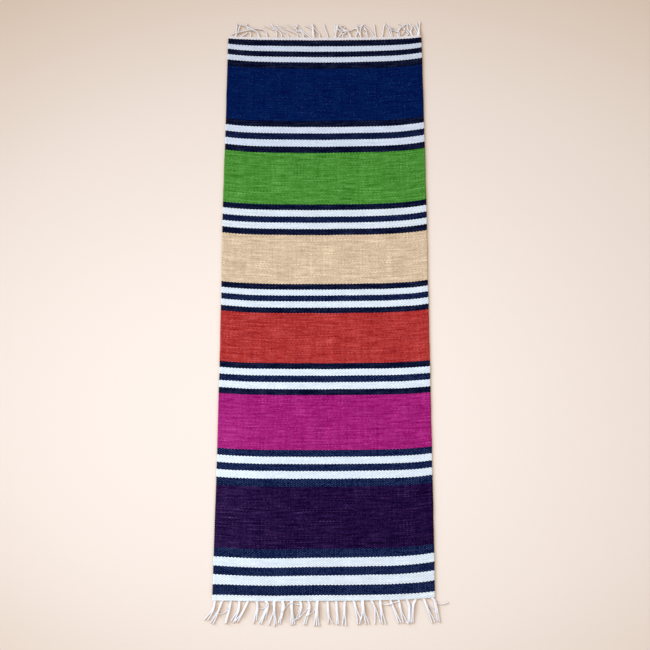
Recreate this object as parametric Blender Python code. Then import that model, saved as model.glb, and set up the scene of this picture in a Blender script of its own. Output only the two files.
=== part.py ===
"""Banded kilim runner lying flat: one woven cloth with a fringed heading at each end.

Frame: +X across the rug, +Y along it towards its far end, +Z up. The origin is the middle of
the underside, which rests on z = 0. Lengths are in metres, but for the tables of sections, ends
and locks, which are in millimetres.
"""

import math
from typing import NamedTuple

import bmesh
import bpy
import numpy as np

# Driving dimensions
MM = 0.001
HALF_WIDTH = 0.300
CLOTH_THICKNESS = 0.0040
HEADING_THICKNESS = 0.0034
PART_GAP = 0.0003
SELVEDGE_ROUNDING = 0.0013
SQUARE_ON = 0.7

# Grid of the woven pieces: columns across the rug, and the longest row along it
COLUMNS = 14
LONGEST_ROW = 0.034

# Weft lines lift towards the far end at the selvedges: a slope, then a steep rim
LEFT_SLOPE_SHARE = 0.10
RIGHT_SLOPE_SHARE = 0.30
RIM_POWER = 5

# Fringe: tails of a lock, each four-sided and flat on the floor
TAIL_SIDE = 0.0024
TAIL_TIP_SHARE = 0.55
TAIL_PITCH = 0.0031
TAIL_POINTS = 7
ROOT_DEPTH = 0.0022
DROP_SHARE = 0.3
LEAN_POWER = 1.5
TIP_POWER = 4
WELD_DISTANCE = 0.00001


class Section(NamedTuple):
    """One striped group and the band after it, in millimetres, far end first."""

    navy_1: float
    white_1: float
    navy_2: float
    white_2: float
    navy_3: float
    band: float
    band_yarn: str
    lift_left: float
    lift_right: float
    belly: float
    edge_left: float
    edge_right: float


SECTIONS = (
    Section(21.0, 17.5, 19.0, 17.0, 22.0, 171.0, "blue", 11.0, 17.0, 0.5, -300.0, 298.5),
    Section(20.0, 20.0, 21.0, 21.5, 20.0, 162.0, "green", 10.0, 17.5, 0.0, -300.5, 300.0),
    Section(18.0, 20.0, 19.0, 19.0, 19.0, 147.5, "sand", 9.5, 17.5, 0.0, -302.0, 301.0),
    Section(17.0, 17.0, 17.5, 18.5, 16.5, 145.0, "red", 9.0, 13.5, 0.0, -299.5, 300.5),
    Section(17.0, 18.5, 19.0, 19.5, 17.0, 153.0, "magenta", 6.5, 9.0, 0.0, -299.0, 300.5),
    Section(19.0, 19.5, 19.5, 20.5, 22.0, 165.0, "purple", 6.0, 11.0, 0.0, -299.5, 300.0),
    Section(24.0, 23.5, 22.5, 24.5, 26.5, 0.0, "", 3.5, 15.0, -2.5, -301.5, 299.5),
)


class End(NamedTuple):
    """The plain white heading at one end of the rug, in millimetres."""

    heading: float
    lift_left: float
    lift_right: float
    belly: float
    edge_left: float
    edge_right: float


FAR_END = End(9.5, 5.0, 10.0, 0.0, -298.5, 298.0)
NEAR_END = End(15.0, 0.5, 10.0, -1.5, -301.5, 299.0)


class Lock(NamedTuple):
    """One lock of the fringe, in millimetres: how its tails leave the heading and end."""

    root: float
    reach: float
    lean: float
    bow: float
    tails: int
    splay: float


NEAR_LOCKS = (
    Lock(-294, 50, -23, 2, 3, 10),
    Lock(-274, 57, -28, 2, 3, 8),
    Lock(-251, 58, -14, 1, 3, 7),
    Lock(-228, 55, -23, 2, 3, 7),
    Lock(-205, 54, -27, 0, 3, 7),
    Lock(-182, 57, -5, 3, 3, 10),
    Lock(-157, 58, -9, 4, 3, 12),
    Lock(-135, 61, -2, 0, 3, 15),
    Lock(-113, 55, -8, 3, 3, 7),
    Lock(-88, 60, 4, 0, 3, 9),
    Lock(-65, 46, -5, 1, 3, 7),
    Lock(-42, 59, -11, 1, 3, 7),
    Lock(-19, 62, -3, 0, 3, 13),
    Lock(8, 59, 9, -1, 3, 12),
    Lock(32, 60, 6, 1, 3, 7),
    Lock(55, 62, -1, 0, 3, 10),
    Lock(79, 59, 15, 0, 3, 9),
    Lock(102, 60, 10, 0, 3, 15),
    Lock(126, 58, 16, 3, 3, 12),
    Lock(150, 60, 12, 1, 3, 8),
    Lock(177, 60, 26, 0, 3, 7),
    Lock(200, 59, 13, 0, 3, 8),
    Lock(222, 61, 5, 2, 3, 7),
    Lock(246, 60, -5, -2, 3, 7),
    Lock(267, 63, 27, 0, 3, 8),
    Lock(290, 61, 18, 1, 3, 7),
)

FAR_LOCKS = (
    Lock(-291, 40, 2, 0, 3, 11),
    Lock(-270, 43, 1, 2, 3, 12),
    Lock(-247, 38, 6, -2, 3, 12),
    Lock(-225, 31, -4, 1, 3, 9),
    Lock(-202, 45, -16, 2, 3, 9),
    Lock(-178, 33, -18, 3, 3, 8),
    Lock(-152, 43, -15, 2, 3, 10),
    Lock(-130, 42, -19, 0, 3, 9),
    Lock(-107, 39, -22, 0, 3, 9),
    Lock(-84, 41, -25, 3, 3, 8),
    Lock(-61, 30, -18, 2, 3, 8),
    Lock(-38, 44, -20, 0, 3, 10),
    Lock(-13, 37, -16, 2, 3, 11),
    Lock(10, 44, -12, 1, 3, 11),
    Lock(34, 42, -4, 1, 3, 12),
    Lock(57, 34, -9, 0, 3, 9),
    Lock(79, 30, -14, 2, 3, 8),
    Lock(102, 36, -13, 0, 3, 10),
    Lock(127, 41, -13, -1, 3, 11),
    Lock(152, 40, -2, 2, 3, 12),
    Lock(177, 43, 4, 2, 3, 11),
    Lock(201, 39, -2, 1, 3, 10),
    Lock(225, 42, 10, -2, 3, 12),
    Lock(249, 30, 4, 0, 3, 9),
    Lock(270, 40, 2, 0, 3, 11),
    Lock(290, 49, 3, 1, 3, 11),
)


class Yarn(NamedTuple):
    """The look of one yarn: its sRGB colour, 0 to 255, and its roughness."""

    red: int
    green: int
    blue: int
    roughness: float


YARNS = {
    "navy": Yarn(19, 29, 62, 0.90),
    "white": Yarn(226, 236, 246, 0.90),
    "blue": Yarn(7, 26, 80, 0.90),
    "green": Yarn(76, 142, 55, 0.90),
    "sand": Yarn(220, 196, 167, 0.90),
    "red": Yarn(178, 55, 54, 0.90),
    "magenta": Yarn(163, 36, 120, 0.90),
    "purple": Yarn(34, 16, 58, 0.90),
}


class Stripe(NamedTuple):
    """One stripe of the cloth, with the y of both its edges along the middle of the rug."""

    yarn: str
    far_y: float
    near_y: float


def section_stripes(section):
    """List a section's stripes, far to near, as pairs of yarn name and width."""
    pairs = [
        ("navy", section.navy_1 * MM),
        ("white", section.white_1 * MM),
        ("navy", section.navy_2 * MM),
        ("white", section.white_2 * MM),
        ("navy", section.navy_3 * MM),
    ]
    if section.band:
        pairs.append((section.band_yarn, section.band * MM))
    return pairs


def section_length(section):
    """Length of a section along the rug, in metres."""
    return sum(width for _, width in section_stripes(section))


CLOTH_LENGTH = sum(section_length(section) for section in SECTIONS)
WOVEN_LENGTH = CLOTH_LENGTH + (FAR_END.heading + NEAR_END.heading) * MM
FAR_Y = WOVEN_LENGTH / 2.0
NEAR_Y = -WOVEN_LENGTH / 2.0
CLOTH_FAR_Y = FAR_Y - FAR_END.heading * MM
CLOTH_NEAR_Y = NEAR_Y + NEAR_END.heading * MM


def cloth_stripes():
    """Work out where each stripe of the cloth lies, from the far heading to the near one."""
    stripes = []
    far_y = CLOTH_FAR_Y
    for section in SECTIONS:
        for yarn, width in section_stripes(section):
            stripes.append(Stripe(yarn, far_y, far_y - width))
            far_y -= width
    return stripes


def station_row(y, shape):
    """Put one row of the station table together, for a section or an end at y."""
    return (y, shape.lift_left, shape.lift_right, shape.belly, shape.edge_left, shape.edge_right)


def station_table():
    """Gather y, lifts, belly and selvedge places, near end first, as columns for np.interp."""
    rows = [station_row(FAR_Y, FAR_END)]
    far_y = CLOTH_FAR_Y
    for section in SECTIONS:
        group = sum(width for _, width in section_stripes(section)[:5])
        rows.append(station_row(far_y - group / 2.0, section))
        far_y -= section_length(section)
    rows.append(station_row(NEAR_Y, NEAR_END))
    return np.array(rows[::-1]).T


STATIONS = station_table()


def station(y):
    """Read lift left, lift right, belly, left edge and right edge at y, in metres."""
    return [float(np.interp(y, STATIONS[0], column)) * MM for column in STATIONS[1:]]


def woven_point(across, y):
    """Place a crossing of the weave: across runs from -1 to 1 between the selvedges.

    The weft line through y in the middle lifts towards the far end at both selvedges, and
    bellies a little in the left half.
    """
    lift_left, lift_right, belly, edge_left, edge_right = station(y)
    if across < 0.0:
        x = -across * edge_left
        slope, lift = LEFT_SLOPE_SHARE, lift_left
        sag = belly * math.sin(math.pi * across) ** 2
    else:
        x = across * edge_right
        slope, lift = RIGHT_SLOPE_SHARE, lift_right
        sag = 0.0
    rise = slope * abs(across) + (1.0 - slope) * abs(across) ** RIM_POWER
    return x, y + lift * rise + sag


def column_place(column):
    """Spread the grid's columns from -1 to 1, closer together towards the selvedges."""
    return math.sin(math.pi / 2.0 * (2.0 * column / COLUMNS - 1.0))


def link_new_object(name, mesh, collection):
    """Put a mesh into the scene as a named object of a collection."""
    new_object = bpy.data.objects.new(name, mesh)
    collection.objects.link(new_object)
    return new_object


def make_material(name, yarn):
    """Make a yarn's material from its colour and roughness."""
    material = bpy.data.materials.new(name)
    material.use_nodes = True
    shader = material.node_tree.nodes["Principled BSDF"]
    srgb = [value / 255.0 for value in (yarn.red, yarn.green, yarn.blue)]
    linear = [((value + 0.055) / 1.055) ** 2.4 if value > 0.04045 else value / 12.92 for value in srgb]
    shader.inputs["Base Color"].default_value = (*linear, 1.0)
    shader.inputs["Roughness"].default_value = yarn.roughness
    shader.inputs["Metallic"].default_value = 0.0
    material.diffuse_color = (*linear, 1.0)
    return material


def row_lines(stripes):
    """Split the stripes into grid rows: the y of every row line, and each row's stripe."""
    lines = [stripes[0].far_y]
    owners = []
    for index, stripe in enumerate(stripes):
        steps = math.ceil((stripe.far_y - stripe.near_y) / LONGEST_ROW)
        for y in np.linspace(stripe.far_y, stripe.near_y, steps + 1)[1:]:
            lines.append(float(y))
            owners.append(index)
    return lines, owners


def make_woven_solid(name, stripes, thickness, palette, collection):
    """Weave a flat solid: a grid laid on the weft lines, thickened, its selvedges rounded."""
    lines, owners = row_lines(stripes)
    rows = len(lines) - 1
    mesh = bpy.data.meshes.new(name)
    for yarn_name in palette:
        mesh.materials.append(palette[yarn_name])
    slots = list(palette)

    shape = bmesh.new()
    bmesh.ops.create_grid(shape, x_segments=COLUMNS, y_segments=rows, size=1.0)
    for face in shape.faces:
        row = int((1.0 - face.calc_center_median().y) / 2.0 * rows)
        face.material_index = slots.index(stripes[owners[row]].yarn)
    for vertex in shape.verts:
        column = round((vertex.co.x + 1.0) / 2.0 * COLUMNS)
        row = round((1.0 - vertex.co.y) / 2.0 * rows)
        x, y = woven_point(column_place(column), lines[row])
        vertex.co = (x, y, 0.0)

    top = bmesh.ops.extrude_face_region(shape, geom=shape.faces[:], use_keep_orig=True)
    for vertex in [item for item in top["geom"] if isinstance(item, bmesh.types.BMVert)]:
        vertex.co.z = thickness
    bmesh.ops.recalc_face_normals(shape, faces=shape.faces[:])
    long_rims = [edge for edge in shape.edges if is_selvedge(edge)]
    bmesh.ops.bevel(
        shape, geom=long_rims, offset=SELVEDGE_ROUNDING, segments=2, profile=0.5, affect="EDGES"
    )
    shape.to_mesh(mesh)
    shape.free()
    return link_new_object(name, mesh, collection)


def is_selvedge(edge):
    """Tell whether an edge runs along a selvedge, where a side face meets a level one."""
    if len(edge.link_faces) != 2:
        return False
    sideways = [abs(face.normal.x) > SQUARE_ON for face in edge.link_faces]
    level = [abs(face.normal.z) > SQUARE_ON for face in edge.link_faces]
    return any(sideways) and any(level)


def tail_points(lock, tail, end_y, outward):
    """Lay one tail of a lock: out of the heading's edge, down to the floor and along it.

    Each point is x, y, z and the tail's thickness there as a share of TAIL_SIDE. The tail
    thins to its tip, and its underside stays level on the floor as it does.
    """
    start_x = lock.root * MM
    edge_y = woven_point(start_x / HALF_WIDTH, end_y)[1]
    turn = tail - (lock.tails - 1) / 2.0
    tip_pitch = lock.splay * MM / (lock.tails - 1)
    points = []
    for share in np.linspace(0.0, 1.0, TAIL_POINTS):
        side = lock.lean * share**LEAN_POWER + lock.bow * 4.0 * share * (1.0 - share)
        side_rate = LEAN_POWER * lock.lean * math.sqrt(share) + lock.bow * 4.0 * (1.0 - 2.0 * share)
        heading = math.atan2(side_rate, lock.reach)
        offset = turn * (TAIL_PITCH + (tip_pitch - TAIL_PITCH) * share**2)
        x = start_x + side * MM + offset * math.cos(heading)
        along = lock.reach * MM * share - offset * math.sin(heading)
        thickness = 1.0 - (1.0 - TAIL_TIP_SHARE) * share**TIP_POWER
        rest_z = thickness * TAIL_SIDE / 2.0
        drop = max(0.0, 1.0 - share / DROP_SHARE) ** 2
        z = rest_z + (HEADING_THICKNESS / 2.0 - rest_z) * drop
        points.append((x, edge_y + outward * along, z, thickness))
    root_x, root_y, root_z, root_thickness = points[0]
    points.insert(0, (root_x, root_y - outward * ROOT_DEPTH, root_z, root_thickness))
    return points


def make_tails(name, locks, end_y, outward, collection):
    """Make every tail of a fringe as a bevelled curve, and turn them into one mesh."""
    curve = bpy.data.curves.new(name, "CURVE")
    curve.dimensions = "3D"
    curve.twist_mode = "Z_UP"
    curve.bevel_depth = TAIL_SIDE / math.sqrt(2.0)
    curve.bevel_resolution = 0
    curve.use_fill_caps = True
    for lock in locks:
        for tail in range(lock.tails):
            points = tail_points(lock, tail, end_y, outward)
            spline = curve.splines.new("POLY")
            spline.points.add(len(points) - 1)
            for point, (x, y, z, thickness) in zip(spline.points, points):
                point.co = (x, y, z, 1.0)
                point.tilt = math.pi / 4.0
                point.radius = thickness
    curve_object = link_new_object(name + "_curve", curve, collection)
    depsgraph = bpy.context.evaluated_depsgraph_get()
    mesh = bpy.data.meshes.new_from_object(curve_object.evaluated_get(depsgraph))
    tails = link_new_object(name, mesh, collection)
    tails.matrix_world = curve_object.matrix_world
    bpy.data.objects.remove(curve_object)
    bpy.data.curves.remove(curve)

    shape = bmesh.new()
    shape.from_mesh(mesh)
    bmesh.ops.remove_doubles(shape, verts=shape.verts[:], dist=WELD_DISTANCE)
    bmesh.ops.recalc_face_normals(shape, faces=shape.faces[:])
    shape.to_mesh(mesh)
    shape.free()
    tails.hide_render = True
    tails.display_type = "WIRE"
    return tails


def make_fringe(name, heading_stripe, locks, end_y, outward, palette, collection, guides):
    """Make one end's heading with its fringe fused along its outer edge."""
    heading = make_woven_solid(name, [heading_stripe], HEADING_THICKNESS, palette, collection)
    tails = make_tails(name + "_tails", locks, end_y, outward, guides)
    union = heading.modifiers.new("fuse_tails", "BOOLEAN")
    union.operation = "UNION"
    union.solver = "EXACT"
    union.object = tails
    return heading


def make_collection(name):
    """Add a collection to the scene."""
    collection = bpy.data.collections.new(name)
    bpy.context.scene.collection.children.link(collection)
    return collection


def main():
    """Clear the scene and build the kilim."""
    for old_object in list(bpy.data.objects):
        bpy.data.objects.remove(old_object, do_unlink=True)
    kilim = make_collection("kilim_runner")
    guides = make_collection("kilim_runner_guides")
    palette = {name: make_material(name + "_yarn", yarn) for name, yarn in YARNS.items()}
    warp = {"white": make_material("warp_cotton", YARNS["white"])}

    make_woven_solid("woven_cloth", cloth_stripes(), CLOTH_THICKNESS, palette, kilim)
    far_heading = Stripe("white", FAR_Y, CLOTH_FAR_Y + PART_GAP)
    make_fringe("far_fringe", far_heading, FAR_LOCKS, FAR_Y, 1.0, warp, kilim, guides)
    near_heading = Stripe("white", CLOTH_NEAR_Y - PART_GAP, NEAR_Y)
    make_fringe("near_fringe", near_heading, NEAR_LOCKS, NEAR_Y, -1.0, warp, kilim, guides)


main()
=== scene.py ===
"""Looks of a kilim runner that lies flat: banded weave, plain headings, warp fringes, studio.

All places are metres in the rug's own frame: +X across the rug, +Y along it towards its far
end, +Z up, with the origin in the middle of the underside. The tables alone are in millimetres.
"""

import logging
import math
from dataclasses import dataclass
from enum import Enum

import bpy
import numpy as np
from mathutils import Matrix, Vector


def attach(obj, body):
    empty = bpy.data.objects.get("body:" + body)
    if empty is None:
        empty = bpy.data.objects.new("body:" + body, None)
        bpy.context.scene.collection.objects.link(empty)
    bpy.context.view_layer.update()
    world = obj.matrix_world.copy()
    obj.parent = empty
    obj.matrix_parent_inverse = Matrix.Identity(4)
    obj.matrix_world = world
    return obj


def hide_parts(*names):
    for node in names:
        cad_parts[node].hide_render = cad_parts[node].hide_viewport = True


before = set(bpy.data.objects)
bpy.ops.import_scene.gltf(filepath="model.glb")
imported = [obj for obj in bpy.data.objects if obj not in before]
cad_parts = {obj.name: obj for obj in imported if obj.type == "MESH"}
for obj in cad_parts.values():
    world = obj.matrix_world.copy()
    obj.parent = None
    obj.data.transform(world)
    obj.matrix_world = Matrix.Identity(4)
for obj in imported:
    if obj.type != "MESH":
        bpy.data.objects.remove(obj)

Array = np.ndarray
Piece = bpy.types.Object
Material = bpy.types.Material
Group = bpy.types.NodeTree
Node = bpy.types.Node
Socket = bpy.types.NodeSocket
Srgb = tuple[int, int, int]
Colour = tuple[float, float, float, float]
Pair = tuple[float, float]
Triple = tuple[float, float, float]
Ramp = tuple[float, float, float, float]

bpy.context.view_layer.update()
LOG = logging.getLogger("kilim")

MM = 0.001
HALF_WIDTH = 0.300
WARPS = 128
PICK = 0.0026
ROW_WEIGHT = 1.2
CLOTH_THICKNESS = 0.0040
HEADING_THICKNESS = 0.0034

# Weft lines lift towards the far end at the selvedges: a slope, then a steep rim
LEFT_SLOPE_SHARE = 0.10
RIGHT_SLOPE_SHARE = 0.30
RIM_POWER = 5


class Yarn(Enum):
    """The dyed weft yarns, each by its sRGB colour from 0 to 255."""

    NAVY = (16, 27, 63)
    MIDNIGHT = (11, 18, 46)
    WHITE = (222, 233, 245)
    PEARL = (217, 229, 250)
    COTTON = (228, 238, 248)
    LINEN = (238, 235, 241)
    BLUE = (1, 25, 82)
    GREEN = (76, 143, 55)
    SAND = (216, 192, 164)
    RED = (172, 52, 49)
    MAGENTA = (158, 29, 114)
    PURPLE = (30, 8, 53)


def linear(srgb: tuple[float, ...]) -> Colour:
    """Turn an sRGB colour from 0 to 255 into a linear colour with an alpha of 1.

    Args:
        srgb: Red, green and blue, from 0 to 255.
    Returns:
        Linear red, green and blue from 0 to 1, and 1.
    """
    shares = np.array(srgb[:3], float) / 255.0
    values = np.where(shares > 0.04045, ((shares + 0.055) / 1.055) ** 2.4, shares / 12.92)
    return (*(float(value) for value in values), 1.0)


@dataclass(frozen=True)
class Section:
    """One striped group and the band after it, in millimetres, far end first."""

    outer: Yarn
    inner: Yarn
    pale: Yarn
    navy_1: float
    white_1: float
    navy_2: float
    white_2: float
    navy_3: float
    band: float
    band_yarn: Yarn | None
    lift_left: float
    lift_right: float
    belly: float
    edge_left: float
    edge_right: float

    def stripes(self) -> list[tuple[Yarn, float]]:
        """List the section's stripes, far to near, as pairs of yarn and width in metres."""
        group = (
            (self.outer, self.navy_1),
            (self.pale, self.white_1),
            (self.inner, self.navy_2),
            (self.pale, self.white_2),
            (self.outer, self.navy_3),
        )
        pairs = [(yarn, width * MM) for yarn, width in group]
        if self.band_yarn:
            pairs.append((self.band_yarn, self.band * MM))
        return pairs

    def length(self) -> float:
        """Give the section's length along the rug in metres."""
        return sum(width for _, width in self.stripes())

    def group_length(self) -> float:
        """Give the length of the section's five narrow stripes in metres."""
        return sum(width for _, width in self.stripes()[:5])


@dataclass(frozen=True)
class End:
    """The plain white heading at one end of the rug, in millimetres."""

    heading: float
    lift_left: float
    lift_right: float
    belly: float
    edge_left: float
    edge_right: float


NAVY, MIDNIGHT, WHITE, PEARL = Yarn.NAVY, Yarn.MIDNIGHT, Yarn.WHITE, Yarn.PEARL
SECTIONS = (
    Section(
        MIDNIGHT, MIDNIGHT, PEARL, 21.0, 17.5, 19.0, 17.0, 22.0,
        171.0, Yarn.BLUE, 11.0, 17.0, 0.5, -300.0, 298.5,
    ),
    Section(
        MIDNIGHT, NAVY, PEARL, 20.0, 20.0, 21.0, 21.5, 20.0,
        162.0, Yarn.GREEN, 10.0, 17.5, 0.0, -300.5, 300.0,
    ),
    Section(
        MIDNIGHT, NAVY, WHITE, 18.0, 20.0, 19.0, 19.0, 19.0,
        147.5, Yarn.SAND, 9.5, 17.5, 0.0, -302.0, 301.0,
    ),
    Section(
        MIDNIGHT, NAVY, WHITE, 17.0, 17.0, 17.5, 18.5, 16.5,
        145.0, Yarn.RED, 9.0, 13.5, 0.0, -299.5, 300.5,
    ),
    Section(
        MIDNIGHT, NAVY, WHITE, 17.0, 18.5, 19.0, 19.5, 17.0,
        153.0, Yarn.MAGENTA, 6.5, 9.0, 0.0, -299.0, 300.5,
    ),
    Section(
        NAVY, NAVY, WHITE, 19.0, 19.5, 19.5, 20.5, 22.0,
        165.0, Yarn.PURPLE, 6.0, 11.0, 0.0, -299.5, 300.0,
    ),
    Section(
        NAVY, NAVY, WHITE, 24.0, 23.5, 22.5, 24.5, 26.5,
        0.0, None, 3.5, 15.0, -2.5, -301.5, 299.5,
    ),
)
FAR_END = End(9.5, 5.0, 10.0, 0.0, -298.5, 298.0)
NEAR_END = End(15.0, 0.5, 10.0, -1.5, -301.5, 299.0)


@dataclass(frozen=True)
class Stripe:
    """One stripe of one yarn, by the y of its two edges and by the picks it holds."""

    yarn: Yarn
    far_y: float
    near_y: float
    first_pick: int
    picks: int


def soft_noise(a: Array, b: Array, seed: int) -> Array:
    """Give smooth noise from -1 to 1 over two coordinates that are measured in cells.

    A seeded square grid of random values is read between its points with the weight
    t * t * (3 - 2 t) on each axis.

    Args:
        a: First coordinate, in cells.
        b: Second coordinate, in cells.
        seed: Seed of the random grid.
    Returns:
        Noise values in the shape that a and b broadcast to.
    """
    cells = 64
    grid = np.random.default_rng(seed).uniform(-1.0, 1.0, (cells, cells))
    a, b = np.broadcast_arrays(np.asarray(a, float), np.asarray(b, float))
    row, column = np.floor(a).astype(int), np.floor(b).astype(int)
    s, t = a - row, b - column
    s, t = s * s * (3.0 - 2.0 * s), t * t * (3.0 - 2.0 * t)

    def corner(down: int, right: int) -> Array:
        """Read one corner of each place's cell."""
        return grid[(row + down) % cells, (column + right) % cells]

    far = corner(0, 0) * (1.0 - t) + corner(0, 1) * t
    near = corner(1, 0) * (1.0 - t) + corner(1, 1) * t
    return far * (1.0 - s) + near * s


@dataclass
class Chart:
    """Where every stripe, pick and warp of the rug lies, worked out from the tables.

    A pick is one weft row, counted from the far end, and a warp is counted from the left.
    Pick number v has its middle where v is whole, and so has warp number u.
    """

    edge_wave: float = 0.0005
    edge_wave_length: float = 0.035
    edge_lanes: Pair = (3.0, 9.0)
    line_wave: float = 0.00045
    line_wave_length: float = 0.05
    line_waves: float = 7.0
    line_origin: Pair = (20.0, 30.0)
    white_proud: float = 0.0006
    trim_left: float = 0.0003
    trim_right: float = 0.0010
    edge_seed: int = 11
    line_seed: int = 12

    def __post_init__(self) -> None:
        """Lay the stripes end to end and gather the stations of the bow."""
        self.stripes = self._lay_stripes()
        self.picks = self.stripes[-1].first_pick + self.stripes[-1].picks
        self.far_y = self.stripes[0].far_y
        self.near_y = self.stripes[-1].near_y
        self.stations = self._gather_stations()

    def _lay_stripes(self) -> list[Stripe]:
        """Place all stripes, headings included, with a whole number of picks in each."""
        pairs = [(Yarn.LINEN, FAR_END.heading * MM)]
        for section in SECTIONS:
            pairs.extend(section.stripes())
        pairs.append((Yarn.COTTON, NEAR_END.heading * MM))
        y = sum(width for _, width in pairs) / 2.0
        first_pick = 0
        stripes = []
        for yarn, width in pairs:
            picks = round(width / PICK)
            stripes.append(Stripe(yarn, y, y - width, first_pick, picks))
            first_pick += picks
            y -= width
        return stripes

    def _gather_stations(self) -> Array:
        """Gather y and the bow's five measures as columns, near end first, in metres."""

        def row(y: float, shape: Section | End) -> list[float]:
            """Give one station of the table."""
            sizes = (shape.lift_left, shape.lift_right, shape.belly, shape.edge_left, shape.edge_right)
            return [y, *(size * MM for size in sizes)]

        rows = [row(self.far_y, FAR_END)]
        y = self.far_y - FAR_END.heading * MM
        for section in SECTIONS:
            rows.append(row(y - section.group_length() / 2.0, section))
            y -= section.length()
        rows.append(row(self.near_y, NEAR_END))
        return np.array(rows[::-1]).T

    def pick_y(self, v: Array) -> Array:
        """Read the y along the middle of the rug at pick coordinate v.

        Args:
            v: Pick coordinates, where whole numbers are the middles of picks.
        Returns:
            Places along the rug in metres.
        """
        bounds = [stripe.first_pick - 0.5 for stripe in self.stripes] + [self.picks - 0.5]
        places = [stripe.far_y for stripe in self.stripes] + [self.near_y]
        return np.interp(v, bounds, places)

    def across(self, u: Array) -> Array:
        """Turn warp coordinate u into a place across the rug, from -1 to 1."""
        return (np.asarray(u, float) + 0.5) * 2.0 / WARPS - 1.0

    def swell(self, v: Array) -> Array:
        """Give how far the selvedges stand proud at v: white stripes are a little wider."""
        knots, heights = [], []
        for stripe in self.stripes:
            middle = stripe.first_pick + stripe.picks / 2.0 - 0.5
            reach = stripe.picks / 2.0 - 1.0
            proud = self.white_proud if stripe.yarn in (Yarn.WHITE, Yarn.PEARL) else 0.0
            knots.extend((middle - reach, middle + reach))
            heights.extend((proud, proud))
        return np.interp(v, knots, heights)

    def place(self, across: Array, y: Array) -> tuple[Array, Array]:
        """Lay points of the weave on the rug's bowed and slightly wavy weft lines.

        At share a of the half width a weft line lifts by lift * (slope a + (1 - slope) a^5),
        and bellies by belly * sin(pi a)^2 in the left half. Soft noise moves the lines and
        the selvedges by about half a millimetre. The selvedges are trimmed a little, because
        the scallops of the weft stand past them.

        Args:
            across: Places across, from -1 to 1 between the selvedges.
            y: Places along the middle of the rug in metres.
        Returns:
            The x and the y of the points in metres.
        """
        across, y = np.broadcast_arrays(np.asarray(across, float), np.asarray(y, float))
        lift_left, lift_right, belly, edge_left, edge_right = (
            np.interp(y, self.stations[0], column) for column in self.stations[1:]
        )
        left = across < 0.0
        share = np.abs(across)
        edge = np.where(left, -edge_left - self.trim_left, edge_right - self.trim_right)
        lane = np.where(left, *self.edge_lanes)
        waver = soft_noise(y / self.edge_wave_length, lane, self.edge_seed)
        edge = edge + self.edge_wave * waver * share**4
        slope = np.where(left, LEFT_SLOPE_SHARE, RIGHT_SLOPE_SHARE)
        lift = np.where(left, lift_left, lift_right)
        rise = slope * share + (1.0 - slope) * share**RIM_POWER
        sag = np.where(left, belly * np.sin(math.pi * across) ** 2, 0.0)
        cell_x = across * self.line_waves + self.line_origin[0]
        cell_y = y / self.line_wave_length + self.line_origin[1]
        wave = self.line_wave * soft_noise(cell_x, cell_y, self.line_seed)
        return across * edge, y + lift * rise + sag + wave


CHART = Chart()


def new_piece(name: str, points: Array, faces: list[Array], smooth: bool = True) -> Piece:
    """Put points and faces into a mesh object at the origin.

    Args:
        name: Name of the piece.
        points: Places of the points, three columns.
        faces: Arrays of faces, one row for each face, with three or four columns.
        smooth: Whether the faces are shaded smooth.
    Returns:
        The new object, in the scene's collection.
    """
    mesh = bpy.data.meshes.new(name)
    counts = np.concatenate([np.full(len(rows), rows.shape[1]) for rows in faces])
    corners = np.concatenate([rows.ravel() for rows in faces])
    mesh.vertices.add(len(points))
    mesh.loops.add(len(corners))
    mesh.polygons.add(len(counts))
    mesh.vertices.foreach_set("co", np.ascontiguousarray(points, np.float32).ravel())
    mesh.loops.foreach_set("vertex_index", corners.astype(np.int32))
    mesh.polygons.foreach_set("loop_start", (np.cumsum(counts) - counts).astype(np.int32))
    mesh.polygons.foreach_set("loop_total", counts.astype(np.int32))
    mesh.polygons.foreach_set("use_smooth", np.full(len(counts), smooth))
    mesh.update(calc_edges=True)
    mesh.validate()
    piece = bpy.data.objects.new(name, mesh)
    bpy.context.scene.collection.objects.link(piece)
    return piece


def store(piece: Piece, name: str, values: Array) -> None:
    """Keep three numbers for each point of a piece as an attribute.

    Args:
        piece: The piece.
        name: Name of the attribute.
        values: One row of three numbers for each point.
    """
    attribute = piece.data.attributes.new(name, "FLOAT_VECTOR", "POINT")
    attribute.data.foreach_set("vector", np.ascontiguousarray(values, np.float32).ravel())


def report(piece: Piece) -> None:
    """Say through the log what a finished piece holds."""
    mesh = piece.data
    mesh.calc_loop_triangles()
    LOG.info("%s: %d points, %d triangles", piece.name, len(mesh.vertices), len(mesh.loop_triangles))


class Finish(Enum):
    """The names of the record's material slots."""

    STRIPED_WEFT = "striped_weft"
    WARP_COTTON = "warp_cotton"


def dress(piece: Piece, material: Material, finish: Finish, *nodes: str) -> None:
    """Give a piece its material and body, hide the solids that it stands for, and log what it holds.

    Args:
        piece: The piece.
        material: Its material.
        finish: The record's slot that it takes its finish from; not used.
        nodes: Names of the solids that it replaces.
    """
    piece.data.materials.append(material)
    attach(piece, "root")
    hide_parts(*nodes)
    report(piece)


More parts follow.
